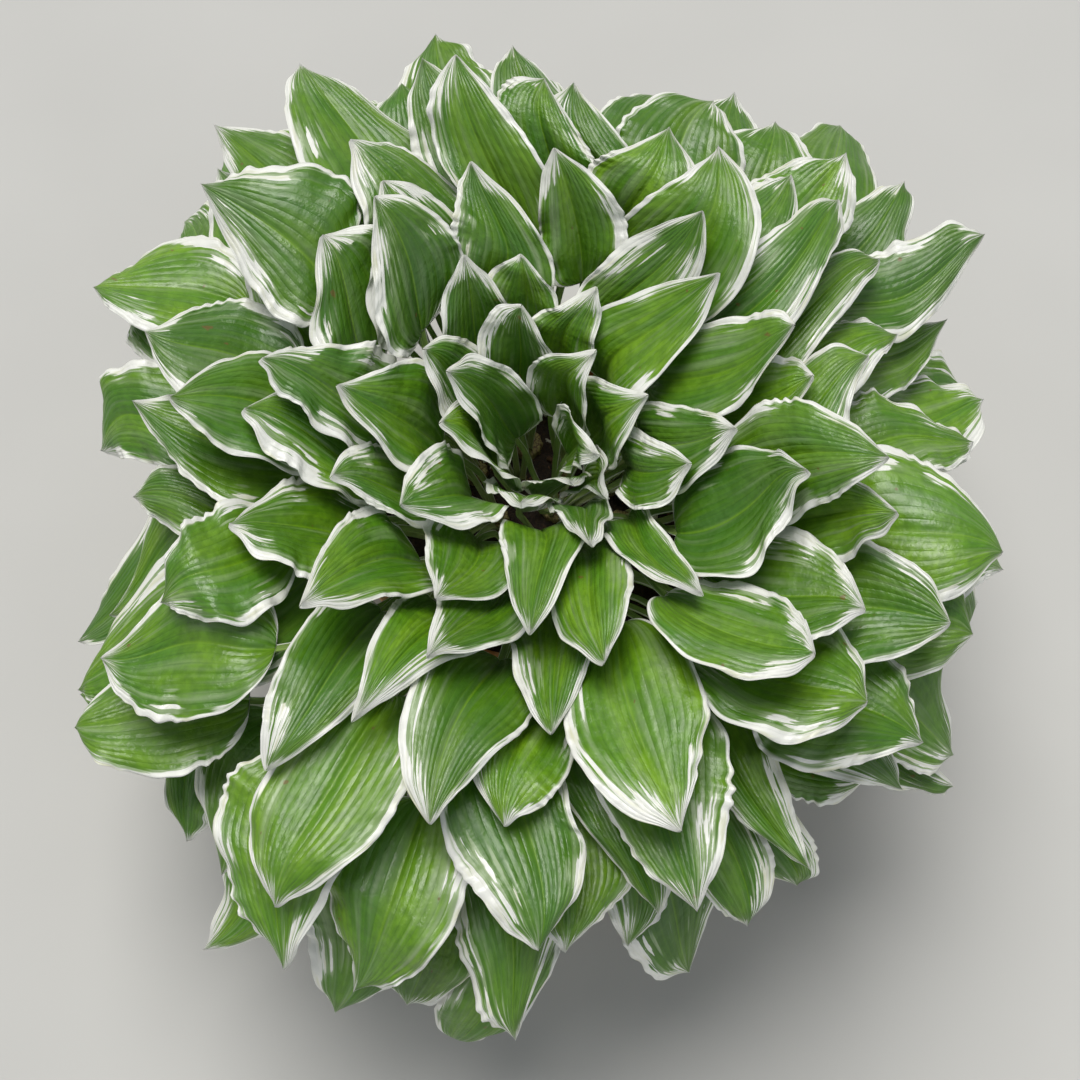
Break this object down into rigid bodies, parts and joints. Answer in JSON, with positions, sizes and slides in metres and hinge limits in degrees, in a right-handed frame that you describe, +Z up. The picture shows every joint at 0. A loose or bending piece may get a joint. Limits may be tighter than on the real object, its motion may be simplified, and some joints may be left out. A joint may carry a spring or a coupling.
{
  "type": "potted hosta plant",
  "caption": "Broad mound of white-margined green hosta leaves on arching petioles, growing in soil in a plain tapered terracotta pot that stands on a flat base.",
  "frame": {"origin": "middle of the pot's flat underside, on the surface that the pot stands on", "axes": "+Z up along the pot's axis, -Y towards the side that the plant leans to and is looked at from, +X to the right seen from there"},
  "size_m": [0.8607, 0.9661, 0.5779],
  "materials": {
    "terracotta": "matte",
    "potting_soil": "matte",
    "hosta_leaf": "satin"
  },
  "bodies": {
    "root": {"pot": "terracotta", "soil": "potting_soil", "shoot_01": "hosta_leaf", "shoot_02": "hosta_leaf", "shoot_03": "hosta_leaf", "shoot_04": "hosta_leaf", "shoot_05": "hosta_leaf", "shoot_06": "hosta_leaf", "shoot_07": "hosta_leaf", "shoot_08": "hosta_leaf", "shoot_09": "hosta_leaf", "shoot_10": "hosta_leaf", "shoot_11": "hosta_leaf", "shoot_12": "hosta_leaf", "shoot_13": "hosta_leaf", "shoot_14": "hosta_leaf", "shoot_15": "hosta_leaf", "shoot_16": "hosta_leaf", "shoot_17": "hosta_leaf", "shoot_18": "hosta_leaf"}
  },
  "joints": []
}
